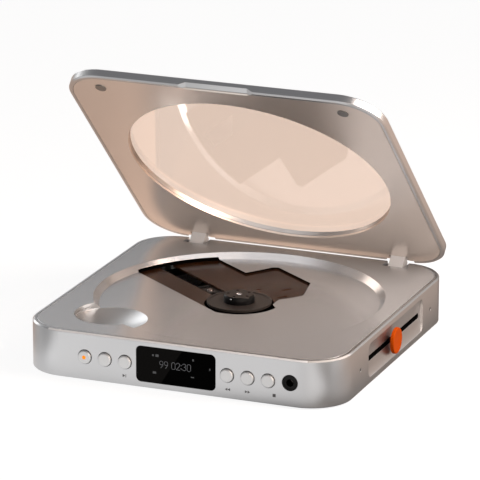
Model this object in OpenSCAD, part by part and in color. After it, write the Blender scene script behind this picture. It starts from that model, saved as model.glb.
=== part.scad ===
// Square aluminium disc player with a hinged window lid.
// Millimetres. X is to the right, Y to the back, Z up. The origin is the middle of the
// footprint, on the surface that the feet stand on. The lid is drawn open.

/* [Body] */
// Width and depth of the square body
body_w = 157; // [155:0.5:160]
// Height from the underside of the bottom cover to the deck
body_h = 22.6; // [22.2:0.1:24]
// Radius of the upright corners, seen from above
corner_r = 20; // [18:0.5:22]
// Thickness of the side walls
wall = 3.4; // [3.2:0.1:3.6]
// Width of the shell's rim around the inset deck
rim = 2.1; // [1.8:0.1:2.3]
// Thickness of the bottom cover
cover_t = 1.6; // [1.4:0.1:1.8]
// Height of the feet below the bottom cover
foot_h = 0.8; // [0.8:0.1:1.5]
// Bevel along the top edge of the shell
bevel = 0.7; // [0.4:0.1:0.9]

/* [Deck] */
// Thickness of the deck plate
deck_t = 1.6; // [1.4:0.1:1.8]
// Diameter of the disc well at the deck
well_d = 138; // [134:0.5:139]
// Diameter of the well's flat floor
floor_d = 132.4; // [130:0.2:133]
// Depth of the disc well
well_depth = 2.9; // [2.6:0.1:3]
// Diameter of the finger scoop
scoop_d = 34.6; // [32:0.2:36]
// Depth of the scoop's bowl below the well's floor
scoop_depth = 2.6; // [1.5:0.1:3]

/* [Lid] */
// Thickness of the lid
lid_t = 4.4; // [4.2:0.1:5]
// Gap between the deck and the closed lid
lid_gap = 0.4; // [0.3:0.05:0.5]
// Angle at which the lid stands open
lid_open = 44.2; // [0:0.1:44.2]
// Diameter of the lid's window opening
window_d = 128.6; // [124:0.2:130]
// Thickness of the clear window pane
pane_t = 1; // [0.8:0.1:1.2]

/* [Controls] */
// Diameter of the push buttons
button_d = 6.4; // [6:0.1:6.6]
// How far a button stands out of the front face
button_out = 1.2; // [1:0.1:1.4]
// Height of the button centres above the resting surface
button_z = 11.9; // [11.5:0.1:12.5]
// Width of the display window
display_w = 39.2; // [36:0.2:40]
// Height of the display window
display_h = 17.2; // [16:0.2:17.4]
// Diameter of the headphone socket's ring
jack_d = 7.5; // [7:0.1:8]
// Diameter of the round volume knob
knob_d = 12.5; // [11:0.1:13]
// Thickness of the volume knob
knob_t = 1.8; // [1.6:0.1:2.2]
// Position of the knob along its slot, positive to the back
knob_y = -3.4; // [-27:0.2:27]

/* [Disc mechanism] */
// Diameter of the turntable platter
platter_d = 30.8; // [29:0.1:32]
// Diameter of the hub that centres the disc
hub_d = 14.9; // [14.8:0.02:14.96]
// Direction of the pickup's travel, seen from above
track_angle = 143; // [141:0.5:145]
// Distance of the lens from the spindle
lens_u = 27; // [22:0.5:32]
// Module of the sled's gear train
gear_m = 0.5; // [0.5:0.1:0.5]

/* [Hidden] */
$fn = 96;
eps = 0.01;

// Levels, from the resting surface up
shell_z = foot_h + cover_t;
deck_z = foot_h + body_h;
floor_z = deck_z - well_depth;
floor_t = 0.8;
half = body_w / 2;
inner = half - wall;
seam = 0.15;

// Controls on the front
button_x = [-45.2, -35.2, -25.2, 25.2, 35.2, 45.2];
flange_t = 0.8;
jack_x = 55.75;
jack_z = 12.2;
jack_bore_r = 1.8;
jack_back = -61;
display_z = 12.2;
display_r = 2.4;
display_t = 1.2;

// Volume channel on the right side
channel_z = 12.1;
channel_h = 16.4;
channel_l = 75.4;
channel_depth = 1.6;
slot_l = 71.2;
slot_h = 2.6;
stem_w = 2.2;
side_mid = 0.6;
side_screw_z = 11.4;
side_screws_at = [side_mid - 48.3, side_mid + 48.3];
knob_back = half + 0.5;

// Hinges
axis_y = 78.2;
axis_z = 19.57;
hinge_x = 52;
arm_w = 7.3;
barrel_r = 2.3;
pin_r = 1;
notch_w = 11.2;
notch_y = 69.7;
ear_w = 1.65;
ear_x = arm_w / 2 + 0.15;
bracket_side = ear_x + ear_w;
bracket_reach = bracket_side + 2.4;

// Lid levels, when closed
lid_z = deck_z + lid_gap;
panel_t = 1.1;
skin_z = lid_z + panel_t + seam;
magnet_x = 60;
magnet_y = -68.3;
magnet_r = 2.6;
magnet_out = 0.3;

// Screw posts in the corners of the shell
post_x = 67.6;
post_r = 4.2;
screw_r = 1;
keyhole_x = 55;
socket_x = -22;
socket_z = 7.8;
bracket_screw_z = 14.2;

// Disc mechanism, in its own frame: U along the pickup's travel, W across it
plate_z = 18.6;
plate_t = 1;
chassis_z = 14.6;
chassis_t = 2.5;
rod_w = 11.2;
rod_z = 15.85;
rod_r = 1;
platter_z = 19.8;
platter_top = floor_z + 0.45;
hub_top = floor_z + 3.8;
hub_wall_top = hub_top - 1.85;
ball_z = hub_top - 1.1;
ball_at = [-103, 17, 137];
shaft_r = 0.75;
cap_r = 1.5;
motor_r = 11.5;
slot_low = -3.6;
slot_high = 4.4;
boss_at = [[52, 23.5], [52, -31.5], [-24.5, 0]];
boss_z = chassis_z - 0.95;
gear_u = 27;
gear_w = 17.05;
rack_w = 14;
rack_h = 2;
rack_pitch = PI * gear_m;
rack_teeth = 25;
small_teeth = 12;
big_teeth = 40;
pinion_teeth = 10;
pinion_w = gear_w + gear_m * (big_teeth + pinion_teeth) / 2 + 0.05;
sled_motor_r = 6;

// Colours
aluminium = [0.76, 0.76, 0.77];
satin = [0.62, 0.6, 0.6];
black = [0.05, 0.05, 0.055];
graphite = [0.2, 0.2, 0.21];
brown = [0.22, 0.15, 0.12];
steel = [0.7, 0.71, 0.73];
orange = [0.92, 0.36, 0.05];
board_green = [0.08, 0.3, 0.16];

// ---------- shared shapes ----------

// Square outline with round corners, centred on the origin
module round_square(size, r) {
    square([size, size - 2 * r], center = true);
    square([size - 2 * r, size], center = true);
    for (x = [-1, 1], y = [-1, 1])
        translate([x * (size / 2 - r), y * (size / 2 - r)]) circle(r);
}

// Rectangle with round corners, centred on the origin
module round_rect(w, h, r) {
    square([w, h - 2 * r], center = true);
    square([w - 2 * r, h], center = true);
    for (x = [-1, 1], y = [-1, 1])
        translate([x * (w / 2 - r), y * (h / 2 - r)]) circle(r);
}

// A layer whose sides lean in by c over its height c
module bevel_layer(size, r, c) {
    trapezoid = [[-size / 2, 0], [size / 2, 0], [size / 2 - c, c], [-size / 2 + c, c]];
    for (a = [0, 90])
        rotate([90, 0, a])
            translate([0, 0, -(size / 2 - r)]) linear_extrude(size - 2 * r) polygon(trapezoid);
    for (x = [-1, 1], y = [-1, 1])
        translate([x * (size / 2 - r), y * (size / 2 - r), 0]) cylinder(r1 = r, r2 = r - c, h = c);
}

// Slab from z0 to z1 with a bevel of low at its lower edge and high at its upper edge
module slab(size, r, z0, z1, low = 0, high = 0) {
    translate([0, 0, z0 + low]) linear_extrude(z1 - z0 - low - high) round_square(size, r);
    if (high > 0) translate([0, 0, z1 - high]) bevel_layer(size, r, high);
    if (low > 0) translate([0, 0, z0 + low]) mirror([0, 0, 1]) bevel_layer(size, r, low);
}

// Box given by its low and high corner
module block(low, high) {
    translate(low) cube(high - low);
}

// Cylinder along Y from y0 to y1
module rod_y(x, z, r, y0, y1) {
    translate([x, y1, z]) rotate([90, 0, 0]) cylinder(r = r, h = y1 - y0);
}

// Cylinder along X from x0 to x1
module rod_x(y, z, r, x0, x1) {
    translate([x0, y, z]) rotate([0, 90, 0]) cylinder(r = r, h = x1 - x0);
}

// Lays a child, drawn in X and Z as X and Y, upright with its front at y
module upright(y, depth) {
    translate([0, y + depth, 0]) rotate([90, 0, 0]) linear_extrude(depth) children();
}

// Turns a child from the closed lid's place to the open one
module opened() {
    translate([0, axis_y, axis_z]) rotate([-lid_open, 0, 0]) translate([0, -axis_y, -axis_z])
        children();
}

// Turns a child from the mechanism's frame into the body's frame
module on_track() {
    rotate([0, 0, track_angle]) children();
}

// Gear outline with a tooth centred on +X
module gear_2d(teeth) {
    pitch_r = gear_m * teeth / 2;
    root_r = pitch_r - 1.15 * gear_m;
    tip_r = pitch_r + 0.85 * gear_m;
    root_a = 0.92 * gear_m / root_r * 180 / PI;
    pitch_a = 0.68 * gear_m / pitch_r * 180 / PI;
    tip_a = 0.34 * gear_m / tip_r * 180 / PI;
    polygon([for (i = [0 : teeth - 1])
        let (a = i * 360 / teeth)
        for (p = [[root_r, -root_a], [pitch_r, -pitch_a], [tip_r, -tip_a],
                  [tip_r, tip_a], [pitch_r, pitch_a], [root_r, root_a]])
            p[0] * [cos(a + p[1]), sin(a + p[1])]]);
}

// ---------- body ----------

module channel() {
    edge = channel_h / 2 + 0.25;
    channel_r = (edge * edge + channel_depth * channel_depth) / (2 * channel_depth);
    intersection() {
        rod_y(half - channel_depth + channel_r, channel_z, channel_r, -half, half);
        translate([half - 2, side_mid, channel_z]) rotate([90, 0, 90]) linear_extrude(4)
            round_rect(channel_l, channel_h, 3.7);
    }
}

module body_shell() {
    color(aluminium) difference() {
        union() {
            difference() {
                slab(body_w, corner_r, foot_h, deck_z, low = 0.4, high = bevel);
                translate([0, 0, -1]) linear_extrude(deck_z + 2)
                    round_square(2 * inner, corner_r - wall);
                translate([0, 0, deck_z - deck_t]) linear_extrude(deck_t + 1)
                    round_square(body_w - 2 * rim, corner_r - rim);
            }
            for (x = [-1, 1], y = [-1, 1])
                translate([x * post_x, y * post_x, shell_z])
                    cylinder(r = post_r, h = deck_z - deck_t - shell_z);
        }
        // screw holes in the posts
        for (x = [-1, 1], y = [-1, 1])
            translate([x * post_x, y * post_x, shell_z - 1]) cylinder(r = screw_r + 0.02, h = 8);
        // push button holes
        for (x = button_x) rod_y(x, button_z, button_d / 2 + 0.25, -half - 1, -inner + 1);
        // display pocket and the opening behind it
        upright(-half - 1, 1 + display_t + 0.02) translate([0, display_z])
            round_rect(display_w + 0.1, display_h + 0.1, display_r + 0.05);
        upright(-half, wall + 1) translate([0, display_z]) square([35, 13.4], center = true);
        // headphone socket
        rod_y(jack_x, jack_z, jack_d / 2 + 0.05, -half - 1, -inner + 1);
        // hinge notches in the back wall
        for (x = [-hinge_x, hinge_x])
            block([x - notch_w / 2, inner - 1, axis_z - barrel_r - 0.5],
                  [x + notch_w / 2, half + 1, deck_z + 1]);
        // blind holes of the hinge screws
        for (x = [-hinge_x, hinge_x], s = [-1, 1])
            rod_y(x + s * bracket_reach, bracket_screw_z, 0.84, inner - 1, inner + 2);
        // power socket
        upright(inner - 1, wall + 2) translate([socket_x, socket_z]) round_rect(9.3, 3.5, 1.7);
        // volume channel, its slot and two screw holes
        channel();
        translate([inner - 1, side_mid, channel_z]) rotate([90, 0, 90]) linear_extrude(wall + 2)
            round_rect(slot_l, slot_h, slot_h / 2 - 0.05);
        for (y = side_screws_at) {
            rod_x(y, side_screw_z, 0.62, inner - 1, half + 1);
            rod_x(y, side_screw_z, 0.95, half - 1.6, half + 1);
        }
    }
}

module cutout_2d() {
    // the round end in front of the platter stops at a small lobe
    difference() {
        circle(19.7);
        polygon([[-7.5, -17.6], [-9.8, -14], [-12.4, -11], [-17.6, -9.4], [-30, -16], [-30, -40],
                 [-7.5, -40]]);
        translate([-30, 18]) square([60, 10]);
    }
    intersection() {
        polygon([[75, 18], [-2, 18], [-2, 0], [-7.5, -17.6], [-8.2, -20.9], [-8.2, -30.2],
                 [-6.4, -32.3], [6.4, -43.8], [35.2, -43.8], [36.9, -41.6], [36.4, -25.8], [75, -25.8]]);
        circle(67.2);
    }
}

module deck_plate() {
    scoop_x = 65.4 * cos(225.9);
    scoop_y = 65.4 * sin(225.9);
    scoop_r = scoop_d / 2;
    bowl_rim = scoop_r - 0.3;
    bowl_r = (bowl_rim * bowl_rim + scoop_depth * scoop_depth) / (2 * scoop_depth);
    color(satin) difference() {
        union() {
            translate([0, 0, deck_z - deck_t]) linear_extrude(deck_t)
                round_square(body_w - 2 * rim - 2 * seam, corner_r - rim - seam);
            translate([0, 0, floor_z - floor_t])
                cylinder(d = well_d + 3, h = deck_z - deck_t - floor_z + floor_t);
            translate([scoop_x, scoop_y, floor_z - floor_t - scoop_depth])
                cylinder(r = scoop_r + 1.2, h = scoop_depth + floor_t + 1);
            // bosses that the mechanism hangs from
            on_track() for (b = boss_at)
                translate([b[0], b[1], boss_z]) cylinder(r = 1.9, h = floor_z - floor_t - boss_z + 0.5);
        }
        // disc well
        translate([0, 0, floor_z])
            cylinder(d1 = floor_d, d2 = well_d + (well_d - floor_d) / well_depth, h = well_depth + 1);
        // opening over the mechanism
        on_track() translate([0, 0, floor_z - floor_t - 1]) linear_extrude(floor_t + 2.2) cutout_2d();
        // finger scoop
        translate([scoop_x, scoop_y, floor_z]) cylinder(r = scoop_r, h = well_depth + 1);
        intersection() {
            translate([scoop_x, scoop_y, floor_z - scoop_depth + bowl_r]) sphere(bowl_r);
            translate([scoop_x, scoop_y, floor_z - scoop_depth - 1])
                cylinder(r = scoop_r - 0.1, h = scoop_depth + 1.02);
        }
        // hinge notches
        for (x = [-hinge_x, hinge_x])
            block([x - notch_w / 2, notch_y, deck_z - deck_t - 1], [x + notch_w / 2, half, deck_z + 1]);
        // screw holes of the bosses
        on_track() for (b = boss_at)
            translate([b[0], b[1], boss_z - 1]) cylinder(r = 0.82, h = 5);
    }
}

// Outline of a keyhole for a wall screw, grown by more, from z0 to z1
module keyhole(x, more, z0, z1) {
    translate([x, 0, z0]) cylinder(r = 4 + more, h = z1 - z0);
    block([x - 2.2 - more, 0, z0], [x + 2.2 + more, 9, z1]);
    translate([x, 9, z0]) cylinder(r = 2.2 + more, h = z1 - z0);
}

module bottom_cover() {
    color(aluminium) difference() {
        union() {
            translate([0, 0, foot_h]) linear_extrude(cover_t)
                round_square(2 * inner - 2 * seam, corner_r - wall - seam);
            // pads around the keyholes, level with the feet
            for (x = [-keyhole_x, keyhole_x]) keyhole(x, 1.8, 0, foot_h + 0.4);
        }
        for (x = [-1, 1], y = [-1, 1])
            translate([x * post_x, y * post_x, foot_h - 1]) {
                cylinder(r = screw_r + 0.3, h = 4);
                cylinder(r = 2.2, h = 1 + cover_t - 0.6);
            }
        for (x = [-keyhole_x, keyhole_x]) keyhole(x, 0, -1, 4);
    }
}

module bottom_screws() {
    color(steel) for (x = [-1, 1], y = [-1, 1])
        translate([x * post_x, y * post_x, 0]) {
            difference() {
                translate([0, 0, foot_h + 0.1]) cylinder(r = 2, h = cover_t - 0.7);
                translate([-1.2, -0.2, foot_h]) cube([2.4, 0.4, 0.5]);
                translate([-0.2, -1.2, foot_h]) cube([0.4, 2.4, 0.5]);
            }
            translate([0, 0, foot_h + cover_t - 0.6 - eps]) cylinder(r = screw_r, h = 6.4);
        }
}

module rubber_feet() {
    color(graphite) for (x = [-1, 1], y = [-1, 1])
        translate([x * 56, y * 56, 0]) {
            cylinder(r1 = 5.6, r2 = 6, h = 0.4);
            translate([0, 0, 0.4]) cylinder(r = 6, h = foot_h - 0.4);
        }
}

// ---------- front parts ----------

module display_window() {
    color(black) upright(-half, display_t) translate([0, display_z])
        round_rect(display_w, display_h, display_r);
}

module display_module() {
    color(graphite) block([-17, -half + display_t + 0.03, display_z - 6.4], [17, -71.4, display_z + 6.4]);
}

module headphone_jack() {
    color(black) difference() {
        union() {
            rod_y(jack_x, jack_z, jack_d / 2, -half - 0.3, -inner + 0.3);
            block([jack_x - 4.4, -inner + 0.2, jack_z - 4.8], [jack_x + 4.4, jack_back, jack_z + 4.8]);
        }
        rod_y(jack_x, jack_z, jack_bore_r, -half - 1, jack_back - 1.5);
        // countersunk ring around the bore
        rod_y(jack_x, jack_z, 2.9, -half - 1, -half);
    }
}

module usb_socket() {
    color(steel) difference() {
        upright(67, half - 67 - 0.2) translate([socket_x, socket_z]) round_rect(9, 3.2, 1.55);
        upright(70, half - 69) translate([socket_x, socket_z]) round_rect(8.4, 2.6, 1.25);
    }
}

module button_board() {
    color(board_green) block([-54, -71.4, shell_z], [50.6, -70, 19.2]);
}

module tact_switches() {
    color(graphite) for (x = button_x) {
        block([x - 2.2, -73.1, button_z - 2.2], [x + 2.2, -71.4, button_z + 2.2]);
        rod_y(x, button_z, 1.1, -73.3, -73.1 + eps);
    }
}

// A push button: a domed cap, and the flange that keeps it behind the wall
module push_button(x, tip = 0) {
    front = -half - button_out;
    difference() {
        union() {
            rod_y(x, button_z, button_d / 2, front + 0.3, -inner + 0.15);
            translate([x, front + 0.3, button_z]) rotate([90, 0, 0])
                cylinder(r1 = button_d / 2, r2 = button_d / 2 - 0.3, h = 0.3);
            rod_y(x, button_z, button_d / 2 + 0.8, -inner + 0.1, -inner + 0.1 + flange_t);
        }
        if (tip > 0) rod_y(x, button_z, tip, front - 1, -inner);
    }
}

module power_button() {
    color(aluminium) push_button(button_x[0], tip = 0.9);
}

module mode_button() {
    color(aluminium) push_button(button_x[1]);
}

module play_button() {
    color(aluminium) push_button(button_x[2]);
}

module previous_button() {
    color(aluminium) push_button(button_x[3]);
}

module next_button() {
    color(aluminium) push_button(button_x[4]);
}

module stop_button() {
    color(aluminium) push_button(button_x[5]);
}

module power_indicator() {
    color(orange) rod_y(button_x[0], button_z, 0.88, -half - button_out - 0.05, -inner - eps);
}

// ---------- volume slider ----------

module slide_potentiometer() {
    color(graphite) difference() {
        union() {
            block([66, side_mid - 42, 8.6], [74.2, side_mid + 42, 15.6]);
            // face plate that the side screws hold
            block([72.6, side_screws_at[0] - 3, side_screw_z - 2.4],
                  [inner - 0.05, side_screws_at[1] + 3, side_screw_z + 3.4]);
        }
        block([70.5, side_mid - 38.4, channel_z - 1.5], [80, side_mid + 38.4, channel_z + 1.5]);
        for (y = side_screws_at) rod_x(y, side_screw_z, 0.58, 70, 80);
    }
}

module side_screws() {
    color(black) for (y = side_screws_at) difference() {
        union() {
            rod_x(y, side_screw_z, 0.9, half - 1.55, half - 0.3);
            rod_x(y, side_screw_z, 0.56, 72.8, half - 1.5);
        }
        translate([half - 0.7, y, side_screw_z]) rotate([0, 90, 0]) cylinder(r = 0.4, h = 2, $fn = 6);
    }
}

module slider_stem() {
    color(black) {
        block([71, knob_y - 4, channel_z - 1.2], [73.2, knob_y + 4, channel_z + 1.2]);
        block([73.2 - eps, knob_y - stem_w / 2, channel_z - 0.9],
              [knob_back, knob_y + stem_w / 2, channel_z + 0.9]);
    }
}

module volume_knob() {
    color(orange) {
        rod_x(knob_y, channel_z, knob_d / 2, knob_back, knob_back + knob_t - 0.3);
        translate([knob_back + knob_t - 0.3, knob_y, channel_z]) rotate([0, 90, 0])
            cylinder(r1 = knob_d / 2, r2 = knob_d / 2 - 0.3, h = 0.3);
    }
}

// ---------- electronics ----------

module main_board() {
    color(board_green) {
        block([-44, 12, 4.6], [44, 73, 6.2]);
        // main chips
        block([-8, 34, 6.2 - eps], [8, 50, 7.4]);
        block([16, 24, 6.2 - eps], [26, 32, 7.4]);
        block([18, 52, 6.2 - eps], [30, 60, 7.2]);
        block([-36, 24, 6.2 - eps], [-24, 36, 7.6]);
        // stand-offs on the bottom cover
        for (x = [-40, 40], y = [16, 69]) translate([x, y, shell_z]) cylinder(r = 2, h = 4.6 - shell_z + eps);
    }
}

module battery_pack() {
    color([0.25, 0.28, 0.33]) block([2, -60, shell_z], [60, -22, 8.6]);
}

module lid_sensor() {
    color(board_green) {
        block([46, -66, 20.4], [56, -60, deck_z - deck_t]);
        block([52, -65, 19.2], [55, -62, 20.4 + eps]);
    }
}

module catch_magnets() {
    color(steel) for (x = [-magnet_x, magnet_x])
        translate([x, magnet_y, 19.4]) cylinder(r = magnet_r, h = deck_z - deck_t - 19.4);
}

// ---------- hinges ----------

// Bracket in the body: two ears carry the pin, two flanges lie on the back wall
module hinge_bracket(x) {
    side = bracket_side;
    color(graphite) difference() {
        union() {
            for (s = [-1, 1]) {
                x0 = s > 0 ? x + ear_x : x - side;
                block([x0, 70.5, axis_z - barrel_r], [x0 + ear_w, axis_y, axis_z + barrel_r]);
                rod_x(axis_y, axis_z, barrel_r, x0, x0 + ear_w);
                f0 = s > 0 ? x + side - eps : x - side - 5;
                // flange, rounded where it meets the shell's corner
                intersection() {
                    block([f0, 73.1, 11], [f0 + 5 + eps, inner, 21.6]);
                    linear_extrude(deck_z) round_square(2 * inner - 0.04, corner_r - wall - 0.02);
                }
                block([x0, 70.5, 11], [x0 + ear_w, inner - 0.02, axis_z]);
            }
            block([x - side, 69, 11], [x + side, 70.6, 21.6]);
        }
        rod_x(axis_y, axis_z, pin_r + 0.02, x - 10, x + 10);
        for (s = [-1, 1]) rod_y(x + s * bracket_reach, bracket_screw_z, 0.85, 72, 78);
    }
}

module left_hinge_bracket() {
    hinge_bracket(-hinge_x);
}

module right_hinge_bracket() {
    hinge_bracket(hinge_x);
}

module hinge_pins() {
    color(steel) for (x = [-hinge_x, hinge_x])
        rod_x(axis_y, axis_z, pin_r, x - bracket_side, x + bracket_side);
}

module hinge_bracket_screws() {
    color(steel) for (x = [-hinge_x, hinge_x], s = [-1, 1]) {
        rod_y(x + s * bracket_reach, bracket_screw_z, 0.82, 73.1 - eps, inner + 1.9);
        rod_y(x + s * bracket_reach, bracket_screw_z, 1.6, 72.1, 73.1);
    }
}

// Arm on the lid: a block down from the lid, a barrel around the pin, a foot in the lid
module hinge_arm(x) {
    color(steel) opened() difference() {
        union() {
            block([x - arm_w / 2, 72.6, axis_z - barrel_r], [x + arm_w / 2, axis_y, lid_z]);
            rod_x(axis_y, axis_z, barrel_r, x - arm_w / 2, x + arm_w / 2);
            block([x - arm_w / 2, 72.6, lid_z - eps], [x + arm_w / 2, 76.2, skin_z]);
        }
        rod_x(axis_y, axis_z, pin_r + 0.05, x - 10, x + 10);
    }
}

module left_hinge_arm() {
    hinge_arm(-hinge_x);
}

module right_hinge_arm() {
    hinge_arm(hinge_x);
}

// ---------- lid ----------

// Finger notch: a flat bevel along the lid's lower front edge, with sloped ends
module finger_notch() {
    up = 2.2;
    in = 3;
    depth = up * in / sqrt(up * up + in * in);
    translate([0, -half, lid_z]) rotate([90 - atan2(up, in), 0, 0])
        linear_extrude(20, center = true)
            polygon([[-20, 1], [-19.4, 0], [-15.2, depth], [15.2, depth], [19.4, 0], [20, -1], [-20, -1]]);
}

module lid_frame() {
    color(aluminium) opened() difference() {
        slab(body_w, corner_r, lid_z, lid_z + lid_t, low = bevel, high = 0.5);
        // bed of the inner panel
        translate([0, 0, lid_z - 1]) linear_extrude(1 + skin_z - lid_z)
            round_square(body_w - 2 * rim, corner_r - rim);
        // window opening and the pane's seat
        translate([0, 0, lid_z]) cylinder(d = window_d, h = lid_t + 1);
        translate([0, 0, lid_z + lid_t - pane_t]) cylinder(d = window_d + 3, h = pane_t + 1);
        // the back rim is cut away around the hinge arms
        for (x = [-hinge_x, hinge_x])
            block([x - arm_w, half - 4, lid_z - 1], [x + arm_w, half + 1, skin_z]);
        finger_notch();
    }
}

module lid_inner_panel() {
    color(satin) opened() difference() {
        translate([0, 0, lid_z + 0.05]) linear_extrude(panel_t)
            round_square(body_w - 2 * rim - 2 * seam, corner_r - rim - seam);
        translate([0, 0, lid_z - 1]) cylinder(d = window_d, h = 4);
        for (x = [-magnet_x, magnet_x])
            translate([x, magnet_y, lid_z - 1]) cylinder(r = magnet_r + 0.1, h = 4);
        for (x = [-hinge_x, hinge_x])
            block([x - 4.9, 72.5, lid_z - 1], [x + 4.9, half, lid_z + 3]);
        finger_notch();
    }
}

module window_pane() {
    color([0.85, 0.87, 0.88, 0.35]) opened()
        translate([0, 0, lid_z + lid_t - pane_t]) cylinder(d = window_d + 2.8, h = pane_t);
}

module lid_magnets() {
    color(steel) opened() for (x = [-magnet_x, magnet_x])
        translate([x, magnet_y, lid_z - magnet_out]) cylinder(r = magnet_r, h = magnet_out + skin_z - lid_z);
}

// ---------- disc mechanism ----------

module mechanism_cover() {
    // stand-offs on the chassis
    color(brown) on_track() for (p = [[58, 15.4], [20, 15.4], [38, -19.2], [9, -36.5]])
        translate([p[0], p[1], chassis_z + chassis_t])
            cylinder(r = 1.3, h = plate_z - chassis_z - chassis_t + eps);
    color(brown) on_track() translate([0, 0, plate_z]) linear_extrude(plate_t) difference() {
        intersection() {
            polygon([[75, 18.7], [3, 18.7], [-12, 14], [-12, -12], [-8.6, -16], [-8.9, -31], [6, -44.5],
                     [36, -44.5], [37.6, -42], [37.2, -26.5], [75, -26.5]]);
            circle(68);
        }
        circle(16.6);
        // nothing covers the front of the platter
        polygon([[3, 19.6], [0, 0], [-12, -12], [-30, -12], [-30, 22], [3, 22]]);
        // radial slot of the pickup
        translate([15, slot_low]) square([60, slot_high - slot_low]);
        // small slots
        translate([6.1, -30]) round_rect(1.3, 5.3, 0.6);
        translate([-2.5, -22.2]) round_rect(1.2, 5.7, 0.55);
        translate([13.2, -18.9]) round_rect(1.3, 2.6, 0.6);
    }
}

// Outline of one part of the chassis plate
module chassis_part(points) {
    translate([0, 0, chassis_z]) linear_extrude(chassis_t) polygon(points);
}

module mechanism_chassis() {
    below = chassis_z - 1;
    above = chassis_z + chassis_t + 1;
    color(graphite) on_track() difference() {
        union() {
            chassis_part([[69, 17.2], [-9, 17.2], [-16, 10], [-16, -10], [-8, -26], [6, -40],
                          [36, -40], [37, -24], [69, -24]]);
            // arms to the dampers and to the sled motor
            chassis_part([[60, 10], [57.6, 25.5], [46.4, 25.5], [44, 10]]);
            chassis_part([[61, -20], [57.4, -33.3], [46.6, -33.3], [43, -20]]);
            chassis_part([[-10, 9], [-26, 5.7], [-26, -5.7], [-10, -9]]);
            chassis_part([[gear_u - 7.2, 10], [gear_u - 7.2, pinion_w + 2.5],
                          [gear_u + 7.2, pinion_w + 2.5], [gear_u + 7.2, 10]]);
            for (b = boss_at) translate([b[0], b[1], chassis_z]) cylinder(r = 6, h = chassis_t);
            translate([gear_u, pinion_w, chassis_z]) cylinder(r = sled_motor_r + 2, h = chassis_t);
        }
        // room for the sled, and two lightening windows
        block([15.6, -13.8, below], [65.2, 13.8, above]);
        block([18, -35, below], [32, -19, above]);
        block([42, -21.6, below], [62, -16.6, above]);
        // seats of the motors, the dampers, the gear's axle and the guide rods
        translate([0, 0, below]) cylinder(r = 6, h = 5);
        translate([gear_u, pinion_w, below]) cylinder(r = sled_motor_r + 0.05, h = 5);
        for (b = boss_at) translate([b[0], b[1], below]) cylinder(r = 3.2, h = 5);
        translate([gear_u, gear_w, below]) cylinder(r = 0.8, h = 5);
        for (w = [-rod_w, rod_w])
            translate([12, w, rod_z]) rotate([0, 90, 0]) cylinder(r = rod_r + 0.02, h = 56);
    }
}

module damper_grommets() {
    color(black) on_track() for (b = boss_at) translate([b[0], b[1], 0]) difference() {
        union() {
            translate([0, 0, chassis_z - 0.9]) cylinder(r = 3.18, h = chassis_t + 1.8);
            translate([0, 0, chassis_z - 0.9]) cylinder(r = 4.6, h = 0.88);
            translate([0, 0, chassis_z + chassis_t + 0.02]) cylinder(r = 4.6, h = 0.88);
        }
        translate([0, 0, chassis_z - 2]) cylinder(r = 1.92, h = 8);
    }
}

module chassis_screws() {
    color(steel) on_track() for (b = boss_at) translate([b[0], b[1], 0]) {
        translate([0, 0, boss_z - 1.1]) cylinder(r = 3.4, h = 1.09);
        translate([0, 0, boss_z - 0.1]) cylinder(r = 0.8, h = 4);
    }
}

module guide_rods() {
    color(steel) on_track() for (w = [-rod_w, rod_w])
        translate([12.1, w, rod_z]) rotate([0, 90, 0]) cylinder(r = rod_r, h = 55.8);
}

module spindle_motor() {
    color(steel) difference() {
        union() {
            translate([0, 0, 8.4]) cylinder(r = motor_r - 0.5, h = 0.5);
            translate([0, 0, 8.9]) cylinder(r = motor_r, h = chassis_z - 8.9 - 0.02);
            translate([0, 0, chassis_z - 0.03]) cylinder(r = 5.9, h = 3.2);
        }
        translate([0, 0, 7]) cylinder(r = shaft_r + 0.05, h = 14);
    }
}

module sled_motor() {
    color(steel) on_track() translate([gear_u, pinion_w, 0]) difference() {
        union() {
            translate([0, 0, 12.2]) cylinder(r = sled_motor_r, h = 6.8);
            translate([0, 0, 12]) cylinder(r = 2, h = 0.3);
        }
        translate([0, 0, 11]) cylinder(r = 0.56, h = 6);
    }
}

module gear_axle() {
    color(steel) on_track() translate([gear_u, gear_w, 0]) {
        translate([0, 0, 9.4]) cylinder(r = 1.5, h = 0.5);
        translate([0, 0, 9.9 - eps]) cylinder(r = 0.78, h = chassis_z + chassis_t - 9.9);
    }
}

module reduction_gear() {
    color([0.9, 0.9, 0.86]) on_track() translate([gear_u, gear_w, 0]) difference() {
        union() {
            translate([0, 0, 10.2]) linear_extrude(1.3) gear_2d(big_teeth);
            translate([0, 0, 11.5 - eps]) linear_extrude(2.7) gear_2d(small_teeth);
        }
        translate([0, 0, 9]) cylinder(r = 0.84, h = 8);
    }
}

module motor_pinion() {
    color([0.9, 0.9, 0.86]) on_track() translate([gear_u, pinion_w, 10]) {
        linear_extrude(1.8) gear_2d(pinion_teeth);
        // motor shaft
        cylinder(r = 0.5, h = 6);
    }
}

module sled_rack() {
    // toothed bar on the gear's side of the sled, with a gap facing the gear at rest
    first = gear_u + rack_pitch * (4.5 - rack_teeth);
    last = first + rack_pitch * (rack_teeth - 1);
    back = rack_w - 1.5;
    tooth = [[-0.46, -0.58], [-0.34, 0], [-0.17, 0.43], [0.17, 0.43], [0.34, 0], [0.46, -0.58]];
    color([0.9, 0.9, 0.86]) on_track() translate([0, 0, 12]) linear_extrude(rack_h)
        polygon(concat([[last + 1, rack_w - 0.58], [last + 1, back],
                        [first - 1, back], [first - 1, rack_w - 0.58]],
            [for (i = [0 : rack_teeth - 1]) for (p = tooth) [first + i * rack_pitch + p[0], rack_w + p[1]]]));
}

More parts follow.
